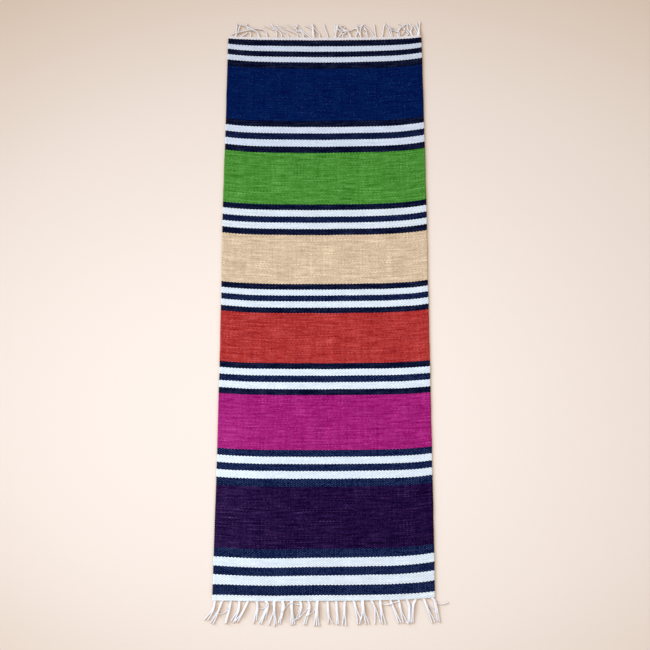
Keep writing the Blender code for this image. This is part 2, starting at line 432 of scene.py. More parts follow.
@dataclass
class Tree:
    """Short ways to add nodes to a node tree and to wire them."""

    tree: Group

    def add(self, kind: str, values: dict | None = None, **settings: object) -> Node:
        """Add a node, make its settings, and set or link its inputs.

        Args:
            kind: The node's type, without the ShaderNode in front.
            values: What goes into each input: a number, a tuple or another node's output.
            settings: The node's own settings.
        Returns:
            The new node.
        """
        node = self.tree.nodes.new("ShaderNode" + kind)
        for name, setting in settings.items():
            setattr(node, name, setting)
        for name, value in (values or {}).items():
            self.feed(node.inputs[name], value)
        return node

    def feed(self, target: Socket, value: object) -> None:
        """Link an output to an input, or set the input's own value."""
        if isinstance(value, Socket):
            self.tree.links.new(value, target)
        else:
            target.default_value = value

    def math(self, operation: str, *values: object) -> Socket:
        """Add a Math node.

        Args:
            operation: Its operation.
            values: Its inputs in order.
        Returns:
            The result.
        """
        node = self.add("Math", operation=operation)
        for target, value in zip(node.inputs, values):
            self.feed(target, value)
        return node.outputs[0]

    def vector(self, operation: str, *values: object) -> Socket:
        """Add a Vector Math node that gives a vector.

        Args:
            operation: Its operation.
            values: Its inputs in order.
        Returns:
            The resulting vector.
        """
        node = self.add("VectorMath", operation=operation)
        for target, value in zip(node.inputs, values):
            self.feed(target, value)
        return node.outputs["Vector"]

    def length(self, vector: Socket) -> Socket:
        """Measure the length of a vector."""
        return self.add("VectorMath", {"Vector": vector}, operation="LENGTH").outputs["Value"]

    def scale(self, vector: Socket, amount: Socket) -> Socket:
        """Multiply a vector or a colour by a number."""
        values = {"Vector": vector, "Scale": amount}
        return self.add("VectorMath", values, operation="SCALE").outputs["Vector"]

    def axis(self, vector: Socket, name: str) -> Socket:
        """Read one axis of a vector."""
        return self.add("SeparateXYZ", {"Vector": vector}).outputs[name]

    def gamma(self, colour: Socket, power: float) -> Socket:
        """Raise a colour to a power."""
        return self.add("Gamma", {"Color": colour, "Gamma": power}).outputs["Color"]

    def blend(self, share: object, low: object, high: object, kind: str = "MIX") -> Socket:
        """Blend two colours.

        Args:
            share: How much of the second one is taken.
            low: The first colour.
            high: The second colour.
            kind: The way of blending.
        Returns:
            The blended colour.
        """
        node = self.add("Mix", data_type="RGBA", blend_type=kind)
        for index, value in ((0, share), (6, low), (7, high)):
            self.feed(node.inputs[index], value)
        return node.outputs[2]

    def choose(self, share: object, low: object, high: object) -> Socket:
        """Blend two vectors by a share, and give the blended vector."""
        node = self.add("Mix", data_type="VECTOR")
        for index, value in ((0, share), (4, low), (5, high)):
            self.feed(node.inputs[index], value)
        return node.outputs[1]

    def product(self, *values: object) -> Socket:
        """Multiply two or more numbers."""
        result = values[0]
        for value in values[1:]:
            result = self.math("MULTIPLY", result, value)
        return result

    def total(self, *values: object) -> Socket:
        """Add two or more numbers up."""
        result = values[0]
        for value in values[1:]:
            result = self.math("ADD", result, value)
        return result

    def either_way(self, value: object, strength: float) -> Socket:
        """Turn noise from 0 to 1 into a number from -strength to strength."""
        return self.math("MULTIPLY", self.math("SUBTRACT", value, 0.5), 2.0 * strength)

    def fade(
        self, value: object, low: float, high: float, to_low: float = 0.0, to_high: float = 1.0
    ) -> Socket:
        """Map a range onto another one with a smoothstep.

        Args:
            value: The value to map.
            low: Where the range starts.
            high: Where it ends.
            to_low: What the start becomes.
            to_high: What the end becomes.
        Returns:
            The mapped value.
        """
        node = self.add("MapRange", interpolation_type="SMOOTHSTEP")
        for target, setting in zip(node.inputs, (value, low, high, to_low, to_high)):
            self.feed(target, setting)
        return node.outputs[0]

    def noise(self, place: object, scale: float, detail: float = 2.0, roughness: float = 0.5) -> Socket:
        """Add a Noise Texture and give its value from 0 to 1, about 0.5 on average."""
        values = {"Vector": place, "Scale": scale, "Detail": detail, "Roughness": roughness}
        return self.add("TexNoise", values).outputs[0]

    def group(self, group: Group, values: dict) -> Node:
        """Place a node group and set or link its inputs."""
        return self.add("Group", values, node_tree=group)

    def relief(self, shader: Node, *layers: tuple[Socket, float]) -> None:
        """Raise a shader's surface by layers, each with its height in millimetres."""
        height = self.total(*(self.product(layer, tall) for layer, tall in layers))
        bump = self.add("Bump", {"Height": height, "Strength": 1.0, "Distance": MM})
        self.feed(shader.inputs["Normal"], bump.outputs["Normal"])


def new_group(
    name: str, takes: dict[str, str], gives: dict[str, str]
) -> tuple[Tree, dict[str, Socket], Node]:
    """Start a shader node group.

    Args:
        name: Name of the group.
        takes: Its inputs, each name with Float, Vector or Color.
        gives: Its outputs, in the same way.
    Returns:
        The tree to build in, its inputs by name, and its output node.
    """
    tree = bpy.data.node_groups.new(name, "ShaderNodeTree")
    for direction, sockets in (("INPUT", takes), ("OUTPUT", gives)):
        for label, kind in sockets.items():
            tree.interface.new_socket(name=label, in_out=direction, socket_type="NodeSocket" + kind)
    source = tree.nodes.new("NodeGroupInput")
    drain = tree.nodes.new("NodeGroupOutput")
    return Tree(tree), {label: source.outputs[label] for label in takes}, drain


def bead_group() -> Group:
    """Make the group that finds the weft bead a point belongs to.

    Beads have their middles where warp and pick are both even or both odd. The nearer one of
    the nearest even and the nearest odd middle is taken, with a pick counted ROW_WEIGHT times
    as long as a warp. That makes beads about twice as wide as high, and colour changes toothed.

    Returns:
        A group from the weave coordinate to the bead's warp and pick, the offset from its
        middle in millimetres, and the weighted distance, which is about 1 at its corners.
    """
    gives = {"Bead": "Vector", "Offset": "Vector", "Reach": "Float"}
    tree, inputs, drain = new_group("nearest_bead", {"Weave": "Vector"}, gives)
    pitch = (2.0 * HALF_WIDTH / WARPS / MM, PICK / MM, 0.0)
    point, diagonal, pair = inputs["Weave"], (1.0, 1.0, 0.0), (2.0, 2.0, 2.0)
    even = tree.vector("SNAP", tree.vector("ADD", point, diagonal), pair)
    odd = tree.vector("ADD", tree.vector("SNAP", point, pair), diagonal)
    lengths = []
    for middle in (even, odd):
        apart = tree.vector("SUBTRACT", point, middle)
        lengths.append(tree.length(tree.vector("MULTIPLY", apart, (1.0, ROW_WEIGHT, 0.0))))
    bead = tree.choose(tree.math("LESS_THAN", lengths[1], lengths[0]), even, odd)
    apart = tree.vector("SUBTRACT", point, bead)
    tree.feed(drain.inputs["Bead"], bead)
    tree.feed(drain.inputs["Offset"], tree.vector("MULTIPLY", apart, pitch))
    tree.feed(drain.inputs["Reach"], tree.math("MINIMUM", *lengths))
    return tree.tree


def stripe_group(chart: Chart) -> Group:
    """Make the group that gives the yarn colour of a pick.

    Each section of the rug has a constant ramp over its own picks, and a section's ramp takes
    over from the one before it where its first pick starts. A ramp changes a little before the
    first pick of a stripe, so a pick never falls on the change.

    Args:
        chart: The rug's chart.
    Returns:
        A group from the pick number to the colour.
    """
    tree, inputs, drain = new_group("stripe_yarn", {"Pick": "Float"}, {"Color": "Color"})
    early, per_section = 0.7, 6
    starts = range(per_section + 1, len(chart.stripes), per_section)
    sections = [chart.stripes[: per_section + 1]]
    sections.extend(chart.stripes[start : start + per_section] for start in starts)
    colour = None
    for stripes in sections:
        first = stripes[0].first_pick
        picks = stripes[-1].first_pick + stripes[-1].picks - first
        share = tree.math("DIVIDE", tree.math("SUBTRACT", inputs["Pick"], first), picks)
        ramp = tree.add("ValToRGB", {"Fac": share})
        ramp.color_ramp.interpolation = "CONSTANT"
        ramp.color_ramp.elements.remove(ramp.color_ramp.elements[1])
        ramp.color_ramp.elements[0].color = linear(stripes[0].yarn.value)
        for stripe in stripes[1:]:
            element = ramp.color_ramp.elements.new((stripe.first_pick - early - first) / picks)
            element.color = linear(stripe.yarn.value)
        if colour is None:
            colour = ramp.outputs["Color"]
        else:
            reached = tree.math("GREATER_THAN", inputs["Pick"], first - 0.5)
            colour = tree.blend(reached, colour, ramp.outputs["Color"])
    tree.feed(drain.inputs["Color"], colour)
    return tree.tree


TONE_PLACES = ("Cell", "Streak Place", "Patch Place")
TONE_STRENGTHS = ("Cell Strength", "Streak Strength", "Patch Strength")


def tone_group() -> Group:
    """Make the group that varies the tone of yarn.

    The tone is 1, plus a share for each bead or ply, a share for streaks along the yarn, and
    a share for wide soft patches.

    Returns:
        A group from places and strengths to a tone around 1.
    """
    takes = {**dict.fromkeys(TONE_PLACES, "Vector"), **dict.fromkeys(TONE_STRENGTHS, "Float")}
    tree, inputs, drain = new_group("yarn_tone", takes, {"Tone": "Float"})
    patch_scale = 11.0
    white = tree.add("TexWhiteNoise", {"Vector": inputs["Cell"]}, noise_dimensions="3D")
    sources = (
        white.outputs["Value"],
        tree.noise(inputs["Streak Place"], 1.0, detail=1.0),
        tree.noise(inputs["Patch Place"], patch_scale, detail=3.0),
    )
    tone = 1.0
    for source, strength in zip(sources, TONE_STRENGTHS):
        swing = tree.product(tree.math("SUBTRACT", source, 0.5), inputs[strength])
        tone = tree.math("ADD", swing, tone)
    tree.feed(drain.inputs["Tone"], tone)
    return tree.tree


def vary_tone(tree: Tree, tones: Group, places: tuple[Socket, ...], strengths: Triple) -> Socket:
    """Place the group that varies tones.

    Args:
        tree: The material's tree.
        tones: The group.
        places: The cell, the place in the streaks, and the place in the patches.
        strengths: The share of each of the three.
    Returns:
        The tone, around 1.
    """
    values = dict(zip(TONE_PLACES + TONE_STRENGTHS, (*places, *strengths)))
    return tree.group(tones, values).outputs["Tone"]


def new_material(name: str) -> tuple[Material, Tree, Node]:
    """Start a node material.

    Args:
        name: Name of the material.
    Returns:
        The material, its tree and its Principled BSDF.
    """
    material = bpy.data.materials.new(name)
    material.use_nodes = True
    return material, Tree(material.node_tree), material.node_tree.nodes["Principled BSDF"]


@dataclass(frozen=True)
class WeavePoint:
    """What the weave's material reads at one point of the rug.

    Attributes:
        tree: The material's tree.
        weave: The weave coordinate, which is warp and pick.
        position: The place on the rug in metres.
        beads: The group that finds beads.
        bead: That group, placed for this point.
        near: How near its pick is, from 0 at the far end to 1.
        light: The lightness of the dye.
    """

    tree: Tree
    weave: Socket
    position: Socket
    beads: Group
    bead: Node
    near: Socket
    light: Socket

    def cells(self, sizes: Triple) -> Socket:
        """Give the bead's warp and pick in stretched cells, for noise."""
        return self.tree.vector("MULTIPLY", self.bead.outputs["Bead"], sizes)

    def strength(self, *ramps: Ramp) -> Socket:
        """Read the lightness of the dye through ramps, and multiply what they give."""
        return self.tree.product(*(self.tree.fade(self.light, *ramp) for ramp in ramps))


@dataclass(frozen=True)
class WeaveFinish:
    """The weft-faced weave: yarn colours by pick, domed beads, warp that peeks through, painted shade
    in the hollows and gaps between beads, and a painted sheen on the near left part.

    A tone multiplies the dyed colour, and a swing is added to it in steps that are even to the
    eye. A Ramp maps a range onto another one: where it starts and ends, and what both become.
    A ramp named for dark, pale or bright yarn reads the lightness of the dye and gives a
    strength. The darkest yarns are midnight and purple, and navy and blue are a little lighter.
    """

    roughness: float = 0.9
    roughness_swing: float = 0.06
    specular: float = 0.02
    bead_height: float = 0.55
    twist_height: float = 0.05
    twist_turn: Pair = (3.4, 2.2)
    fibre_height: float = 0.08
    fibre_scale: float = 1900.0
    fibre_range: Pair = (0.2, 0.8)
    tone_strengths: Triple = (0.08, 0.12, 0.08)
    # Painted shade: the colour darkens towards a bead's edges, where the hollows between beads lie.
    painted_hollow_shade: Ramp = (0.5, 1.0, 1.0, 0.70)
    broad_rib: Ramp = (0.2, 0.8, 0.975, 1.025)
    grain: float = 0.030
    streak: float = 0.18
    rib: float = 0.045
    flash: Ramp = (0.62, 0.82, 0.0, 0.16)
    flash_scale: float = 0.8
    eye_gamma: float = 2.4
    streak_cells: Triple = (0.07, 0.93, 1.0)
    broad_rib_cells: Triple = (0.37, 0.004, 0.0)
    rib_cells: Triple = (0.9, 0.02, 0.0)
    speck_layer: Triple = (0.0, 0.0, 7.0)
    swing_of_dark: Ramp = (0.02, 0.08, 0.55, 1.0)
    swing_of_darkest: Ramp = (0.0075, 0.01, 1.6, 1.0)
    swing_of_pale: Ramp = (0.5, 0.75, 1.0, 0.3)
    flash_of_dark: Ramp = (0.006, 0.02, 1.0, 0.0)
    # Painted sheen: the near left part of the weave is paler, where light from the left falls on it.
    painted_sheen_across: Ramp = (-0.30, -0.06, 1.0, 0.0)
    painted_sheen_along: Ramp = (0.58, 0.78, 0.0, 0.034)
    painted_sheen_of_darkest: Ramp = (0.0075, 0.01, 1.0, 0.0)
    painted_sheen_of_bright: Ramp = (0.02, 0.05, 0.0, 1.0)
    peek_colour: Srgb = (122, 152, 226)
    peek_strength: float = 0.55
    peek_spot: Ramp = (0.95, 0.3, 0.0, 1.0)
    peek_chance: Ramp = (0.0, 0.25, 0.0, 1.0)
    peek_along: Ramp = (0.2, 0.9, 0.35, 1.6)
    peek_scale: float = 16.0
    peek_of_darkest: Ramp = (0.007, 0.012, 0.18, 1.0)
    # On white and sand yarn the peek colour is darker than the yarn: painted shade in the gaps between
    # beads.
    peek_and_gap_shade_of_bright: Ramp = (0.02, 0.06, 1.0, 0.3)

    def tone(self, at: WeavePoint, tones: Group) -> Socket:
        """Work out the tone: chance, streaks and patches, painted shade in the hollows between beads,
        and broad ribs.

        Args:
            at: The point of the rug.
            tones: The group that varies tones.
        Returns:
            The tone, around 1.
        """
        places = (at.bead.outputs["Bead"], at.cells(self.streak_cells), at.position)
        tone = vary_tone(at.tree, tones, places, self.tone_strengths)
        ribs = at.tree.noise(at.cells(self.broad_rib_cells), 1.0, detail=1.0)
        # Painted shade in the hollows: darker towards the edges of each bead.
        painted_hollow_shade = at.tree.fade(at.bead.outputs["Reach"], *self.painted_hollow_shade)
        return at.tree.product(tone, painted_hollow_shade, at.tree.fade(ribs, *self.broad_rib))

    def swing(self, at: WeavePoint) -> Socket:
        """Work out the swing: specks, streaks along the weft, ribs, and flashes on dark yarn.

        Args:
            at: The point of the rug.
        Returns:
            The swing, around 0.
        """
        tree = at.tree
        layer = tree.vector("ADD", at.bead.outputs["Bead"], self.speck_layer)
        speck = tree.add("TexWhiteNoise", {"Vector": layer}).outputs["Value"]
        streaks, ribs = at.cells(self.streak_cells), at.cells(self.rib_cells)
        flash = tree.fade(tree.noise(streaks, self.flash_scale, detail=1.0), *self.flash)
        total = tree.total(
            tree.either_way(speck, self.grain),
            tree.either_way(tree.noise(streaks, 1.0, detail=2.0), self.streak),
            tree.either_way(tree.noise(ribs, 1.0, detail=0.0), self.rib),
            tree.product(flash, at.strength(self.flash_of_dark)),
        )
        strength = at.strength(self.swing_of_dark, self.swing_of_darkest, self.swing_of_pale)
        return tree.product(total, strength)

    def painted_sheen(self, at: WeavePoint) -> Socket:
        """Give how much paler the near left part is, but for its navy yarn: a painted sheen of light
        from the left.

        Args:
            at: The point of the rug.
        Returns:
            What is added to the colour.
        """
        across = at.tree.fade(at.tree.axis(at.position, "X"), *self.painted_sheen_across)
        along = at.tree.fade(at.near, *self.painted_sheen_along)
        darkest, bright = at.strength(self.painted_sheen_of_darkest), at.strength(self.painted_sheen_of_bright)
        return at.tree.product(across, along, at.tree.math("MAXIMUM", darkest, bright))

    def peek(self, at: WeavePoint) -> Socket:
        """Work out where a warp peeks through, in a spot between two beads of a row. On white and sand
        yarn the spot is darker than the yarn, as painted shade in the gap.

        Args:
            at: The point of the rug.
        Returns:
            The share of the warp's colour.
        """
        tree = at.tree
        beside = tree.vector("ADD", at.weave, (1.0, 0.0, 0.0))
        crossing = tree.group(at.beads, {"Weave": beside}).outputs
        gap = tree.length(crossing["Offset"])
        chance = tree.add("TexWhiteNoise", {"Vector": crossing["Bead"]}, noise_dimensions="3D")
        patches = tree.noise(at.position, self.peek_scale, detail=3.0)
        loose = tree.product(patches, tree.fade(at.near, *self.peek_along))
        shown = tree.math("SUBTRACT", loose, chance.outputs["Value"])
        return tree.product(
            tree.fade(shown, *self.peek_chance),
            tree.fade(gap, *self.peek_spot),
            at.strength(self.peek_of_darkest, self.peek_and_gap_shade_of_bright),
            self.peek_strength,
        )

    def relief(self, at: WeavePoint, shader: Node) -> None:
        """Give the shader domed beads with slanting plies and fine fibres, in millimetres.

        A dome's height is 1 - reach^2, and the plies are a sine over the offset from its middle.

        Args:
            at: The point of the rug.
            shader: The material's Principled BSDF.
        """
        tree, reach, offset = at.tree, at.bead.outputs["Reach"], at.bead.outputs["Offset"]
        dome = tree.math("SUBTRACT", 1.0, tree.product(reach, reach))
        axes = (tree.axis(offset, name) for name in "XY")
        slants = (tree.product(axis, turn) for axis, turn in zip(axes, self.twist_turn))
        plies = tree.math("SINE", tree.total(*slants))
        fibres = tree.noise(at.position, self.fibre_scale, detail=2.0, roughness=0.6)
        layers = ((dome, self.bead_height), (plies, self.twist_height), (fibres, self.fibre_height))
        tree.relief(shader, *layers)
        smooth, rough = self.roughness - self.roughness_swing, self.roughness + self.roughness_swing
        tree.feed(shader.inputs["Roughness"], tree.fade(fibres, *self.fibre_range, smooth, rough))

    def material(self, chart: Chart, beads: Group, tones: Group) -> Material:
        """Build the weave's material.

        Args:
            chart: The rug's chart.
            beads: The group that finds beads.
            tones: The group that varies tones.
        Returns:
            The material.
        """
        material, tree, shader = new_material("striped_weave")
        weave = tree.add("Attribute", attribute_name="weave").outputs["Vector"]
        position = tree.add("TexCoord").outputs["Object"]
        bead = tree.group(beads, {"Weave": weave})
        pick = tree.axis(bead.outputs["Bead"], "Y")
        near = tree.math("DIVIDE", pick, chart.picks)
        dyed = tree.group(stripe_group(chart), {"Pick": pick}).outputs["Color"]
        light = tree.add("RGBToBW", {"Color": dyed}).outputs["Val"]
        at = WeavePoint(tree, weave, position, beads, bead, near, light)

        # Painted sheen: the near left part of the weave is made paler.
        added = tree.total(self.swing(at), self.painted_sheen(at))
        uneven = tree.vector("ADD", tree.gamma(dyed, 1.0 / self.eye_gamma), added)
        spun = tree.gamma(tree.vector("MAXIMUM", uneven, (0.0, 0.0, 0.0)), self.eye_gamma)
        yarn = tree.scale(spun, self.tone(at, tones))
        colour = tree.blend(self.peek(at), yarn, linear(self.peek_colour))
        tree.feed(shader.inputs["Base Color"], colour)
        self.relief(at, shader)
        shader.inputs["Specular IOR Level"].default_value = self.specular
        return material


@dataclass(frozen=True)
class YarnFinish:
    """Loosely twisted white warp yarn: painted shade in the grooves between its plies, a tone that
    varies along it, and fine fibres.
    """

    colour: Srgb = (237, 235, 239)
    shade: Srgb = (196, 196, 210)
    shaded: Ramp = (-1.0, 0.6, 0.5, 0.0)
    tone_strengths: Triple = (0.05, 0.10, 0.05)
    streak_cells: Triple = (1.0, 0.12, 7.3)
    plies: float = 8.0
    plies_along: float = 1.9
    ply_height: float = 0.05
    fibre_height: float = 0.10
    fibre_scale: float = 2300.0
    roughness: float = 0.88
    specular: float = 0.1

    def material(self, tones: Group) -> Material:
        """Build the fringe yarn's material.

        The yarn attribute holds the turn round the strand, the place along it in
        millimetres, and the strand's number.

        Args:
            tones: The group that varies tones.
        Returns:
            The material.
        """
        material, tree, shader = new_material("warp_yarn")
        place = tree.add("Attribute", attribute_name="yarn").outputs["Vector"]
        position = tree.add("TexCoord").outputs["Object"]
        strand = tree.add("CombineXYZ", {"X": tree.axis(place, "Z")}).outputs["Vector"]
        streaks = tree.vector("MULTIPLY", place, self.streak_cells)
        tone = vary_tone(tree, tones, (strand, streaks, position), self.tone_strengths)
        round_it = tree.product(tree.axis(place, "X"), self.plies)
        along_it = tree.product(tree.axis(place, "Y"), self.plies_along)
        lay = tree.math("SINE", tree.total(round_it, along_it))
        # Painted shade: the grooves between the plies are blended towards the darker shade colour.
        shade = tree.fade(lay, *self.shaded)
        base = tree.blend(shade, linear(self.colour), linear(self.shade))
        tree.feed(shader.inputs["Base Color"], tree.scale(base, tone))
        fibres = tree.noise(position, self.fibre_scale, detail=2.0, roughness=0.6)
        tree.relief(shader, (lay, self.ply_height), (fibres, self.fibre_height))
        shader.inputs["Roughness"].default_value = self.roughness
        shader.inputs["Specular IOR Level"].default_value = self.specular
        return material


@dataclass
class WovenCloth:
    """A stretch of the weave as one closed sheet, from its first pick to its last.

    Its top has a point on every warp of every pick, so each weft bead is a low dome of its
    own, and the weft turns round the outer warps in scallops.
    """

    name: str
    first_pick: int
    last_pick: int
    relief: float = 0.00030
    jitter: float = 0.00003
    undulation: float = 0.00010
    undulation_length: Pair = (0.05, 0.08)
    undulation_origin: Pair = (10.0, 30.0)
    scallop: float = 0.00060
    rim_points: int = 4
    under_columns: int = 9
    edge_drop: float = 0.20
    round_from: float = 0.3
    seed: int = 5
    undulation_seed: int = 21

    def rows(self) -> Array:
        """Give the pick coordinate of each row of points, with rounded rows at a free end."""
        rows = list(np.arange(self.first_pick, self.last_pick + 1.0))
        far = [self.first_pick - 0.5]
        near = [self.last_pick + 0.5]
        if self.first_pick == 0:
            far.append(self.first_pick - self.round_from)
        if self.last_pick == CHART.picks - 1:
            near.insert(0, self.last_pick + self.round_from)
        return np.array(far + rows + near)

    def thickness(self, v: Array) -> Array:
        """Give the sheet's thickness: the cloth's, which falls to the heading's at both ends.

        At a free end the last half pick is rounded down by a quarter ellipse.
        """
        far_seam = CHART.stripes[0].picks - 0.5
        near_seam = CHART.stripes[-1].first_pick - 0.5
        spread = 2.0
        share = np.clip((v - far_seam) / spread + 0.5, 0.0, 1.0)
        share = share * np.clip((near_seam - v) / spread + 0.5, 0.0, 1.0)
        flat = HEADING_THICKNESS + (CLOTH_THICKNESS - HEADING_THICKNESS) * share
        beyond = np.maximum(-v, v - (CHART.picks - 1.0))
        fall = np.sqrt(np.clip(1.0 - (np.clip(beyond, 0.0, 0.5) / 0.5) ** 2, 0.0, 1.0))
        return flat * (1.0 - self.edge_drop * (1.0 - fall))

    def points(self) -> tuple[Array, Array, int]:
        """Work out the sheet's points, one ring round its section for each row.

        A ring runs over the top from left to right, round the right selvedge, back under the
        sheet and up round the left selvedge. The top's height is the thickness plus relief *
        cos(pi u) cos(pi v), which is high on a bead and low between beads. A selvedge is a
        half ellipse whose width swings with cos(pi (u + v)).

        Returns:
            The points, their weave coordinates, and the number of points in a ring.
        """
        random = np.random.default_rng(self.seed + self.first_pick)
        v = self.rows()[:, None]
        u = np.arange(WARPS, dtype=float)[None, :]
        y = CHART.pick_y(v)
        x, top_y = CHART.place(CHART.across(u), y)
        top = self.thickness(v) + self.relief * np.cos(math.pi * u) * np.cos(math.pi * v)
        cells = (
            place / length + start
            for place, length, start in zip((x, top_y), self.undulation_length, self.undulation_origin)
        )
        top = top + self.undulation * soft_noise(*cells, self.undulation_seed)
        top = top + self.jitter * random.uniform(-1.0, 1.0, top.shape)

        turn = np.arange(1, self.rim_points + 1)[None, :] * math.pi / (self.rim_points + 1)
        reach = HALF_WIDTH / WARPS + CHART.swell(v)
        rims = []
        for column, side in ((WARPS - 1, 1.0), (0, -1.0)):
            wide = reach + self.scallop * np.cos(math.pi * (column + v))
            rim_x = x[:, column : column + 1] + side * wide * np.sin(turn)
            rim_z = top[:, column : column + 1] * (0.5 + 0.5 * np.cos(turn))
            rim_y = top_y[:, column : column + 1] + 0.0 * turn
            rim_u = column + side * np.sin(turn) + 0.0 * v
            rims.append((rim_x, rim_y, rim_z, rim_u))
        under = np.round(np.linspace(WARPS - 1, 0, self.under_columns)).astype(int)
        under_part = (x[:, under], top_y[:, under], 0.0 * x[:, under], under + 0.0 * v)
        left = tuple(part[:, ::-1] for part in rims[1])
        top_part = (x, top_y, top, u + 0.0 * v)
        ring = [np.concatenate(parts, axis=1) for parts in zip(top_part, rims[0], under_part, left)]
        places = np.stack(ring[:3], axis=-1)
        weave = np.stack((ring[3], v + 0.0 * ring[3], 0.0 * ring[3]), axis=-1)
        return places, weave, places.shape[1]

    def faces(self, rows: int, ring: int) -> list[Array]:
        """List the sheet's faces as arrays of point numbers.

        A top cell is cut along its low diagonal, which leaves each bead a dome. The ends are
        closed by triangles between the top's points and the fewer points of the underside.

        Args:
            rows: Number of rings.
            ring: Number of points in each ring.
        Returns:
            Arrays of triangles and of four-sided faces.
        """
        row = np.arange(rows - 1)[:, None]
        column = np.arange(ring)[None, :]
        following = (column + 1) % ring
        a, b = row * ring + column, (row + 1) * ring + column
        c, d = (row + 1) * ring + following, row * ring + following
        last_top = WARPS - 1
        first = self.rows()[:-1, None]
        high = (np.round(first + column[:, :last_top]) % 2 == 0)[..., None]

        def half(*corners: Array) -> Array:
            """Join three corners of every top cell."""
            return np.stack(corners, axis=-1)[:, :last_top]

        lower = np.where(high, half(a, b, d), half(a, b, c))
        upper = np.where(high, half(b, c, d), half(a, c, d))
        sides = np.stack((a, b, c, d), axis=-1)[:, last_top:].reshape(-1, 4)

        under_start = WARPS + self.rim_points
        under = under_start + self.under_columns - 1 - np.arange(self.under_columns)
        places = np.round(np.linspace(0, last_top, self.under_columns))
        middles = np.arange(last_top) + 0.5
        owner = np.abs(middles[:, None] - places[None, :]).argmin(axis=1)
        top = np.arange(last_top)
        switch = np.searchsorted(owner, np.arange(1, self.under_columns))
        right = np.arange(last_top, last_top + self.rim_points)
        left = np.arange(ring - self.rim_points, ring)
        cap = np.concatenate(
            (
                np.stack((top, top + 1, under[owner]), axis=1),
                np.stack((under[1:], under[:-1], switch), axis=1),
                np.stack((right, right + 1, np.full(self.rim_points, under[-1])), axis=1),
                np.stack((left, (left + 1) % ring, np.full(self.rim_points, under[0])), axis=1),
            )
        )
        near_cap = cap[:, ::-1] + (rows - 1) * ring
        return [lower.reshape(-1, 3), upper.reshape(-1, 3), sides, cap, near_cap]

    def build(self) -> Piece:
        """Make the sheet's mesh object with its weave attribute."""
        places, weave, ring = self.points()
        piece = new_piece(self.name, places.reshape(-1, 3), self.faces(len(places), ring))
        store(piece, "weave", weave.reshape(-1, 3))
        return piece


@dataclass(frozen=True)
class Lock:
    """One lock of the fringe, in millimetres.

    Its root is a place across the rug. Its way and its tips are places to the right of the
    root and out from the heading's edge. A lock has one yarn for each tip, and its yarns lie
    together as far as the end of the way.
    """

    root: float
    way: tuple[Pair, ...]
    tips: tuple[Pair, ...]


@dataclass(frozen=True)
class Thread:
    """A loose thin thread over the fringe: its points in millimetres, as places across the
    rug and out from the heading's edge."""

    points: tuple[Pair, ...]


NEAR_LOCKS = (
    Lock(-294, ((-4, 22),), ((-27, 49), (-17, 50))),
    Lock(-274, ((-11, 28),), ((-30, 57), (-23, 59))),
    Lock(-251, ((-4, 23),), ((-15, 58), (-11, 57))),
    Lock(-228, ((-3, 25),), ((-22, 53), (-16, 56))),
    Lock(-205, ((-12, 25),), ((-33, 52), (-27, 55))),
    Lock(-182, ((3, 13),), ((-7, 57), (0, 49))),
    Lock(-157, ((5, 10),), ((-16, 57), (-11, 58), (-1, 46))),
    Lock(-135, ((0, 26),), ((-13, 60), (2, 63), (7, 59))),
    Lock(-113, ((3, 13),), ((-10, 56), (-5, 57), (-1, 44))),
    Lock(-88, ((1, 28),), ((-1, 60), (4, 60), (9, 58))),
    Lock(-65, ((3, 15),), ((-12, 48), (-5, 46))),
    Lock(-42, ((2, 19),), ((-13, 60), (-8, 60))),
    Lock(-19, ((-1, 28),), ((-8, 63), (-1, 63), (5, 63))),
    Lock(8, ((4, 40),), ((3, 58), (16, 58))),
    Lock(32, ((2, 28),), ((3, 60), (8, 60))),
    Lock(55, ((-1, 28),), ((-6, 62), (3, 63))),
    Lock(79, ((6, 21),), ((11, 61), (23, 57))),
    Lock(102, ((3, 27),), ((-8, 60), (10, 61), (18, 59))),
    Lock(126, ((10, 19),), ((10, 60), (25, 57))),
    Lock(150, ((4, 28),), ((5, 60), (15, 60))),
    Lock(177, ((12, 27),), ((22, 60), (28, 58))),
    Lock(200, ((6, 29),), ((12, 59), (22, 59))),
    Lock(222, ((6, 18),), ((2, 61), (7, 60))),
    Lock(246, ((-8, 19),), ((-13, 59), (-8, 60))),
    Lock(267, ((10, 26),), ((22, 65), (30, 63))),
    Lock(290, ((8, 14),), ((14, 61), (19, 64))),
)

NEAR_THREADS = (
    Thread(((-253, 10), (-262, 26), (-277, 34), (-296, 31))),
    Thread(((-180, 5), (-177, 15), (-168, 19), (-158, 15), (-152, 6))),
    Thread(((-113, 28), (-104, 14), (-93, 5), (-84, 3))),
    Thread(((-86, 4), (-76, 8), (-66, 9))),
    Thread(((-42, 16), (-55, 30), (-66, 40), (-78, 47))),
    Thread(((-21, 12), (-28, 26), (-40, 33), (-52, 40))),
    Thread(((152, 6), (164, 12), (182, 8), (203, 3))),
    Thread(((268, 8), (282, 22), (301, 42))),
    Thread(((296, 8), (306, 17), (318, 20), (334, 18))),
)

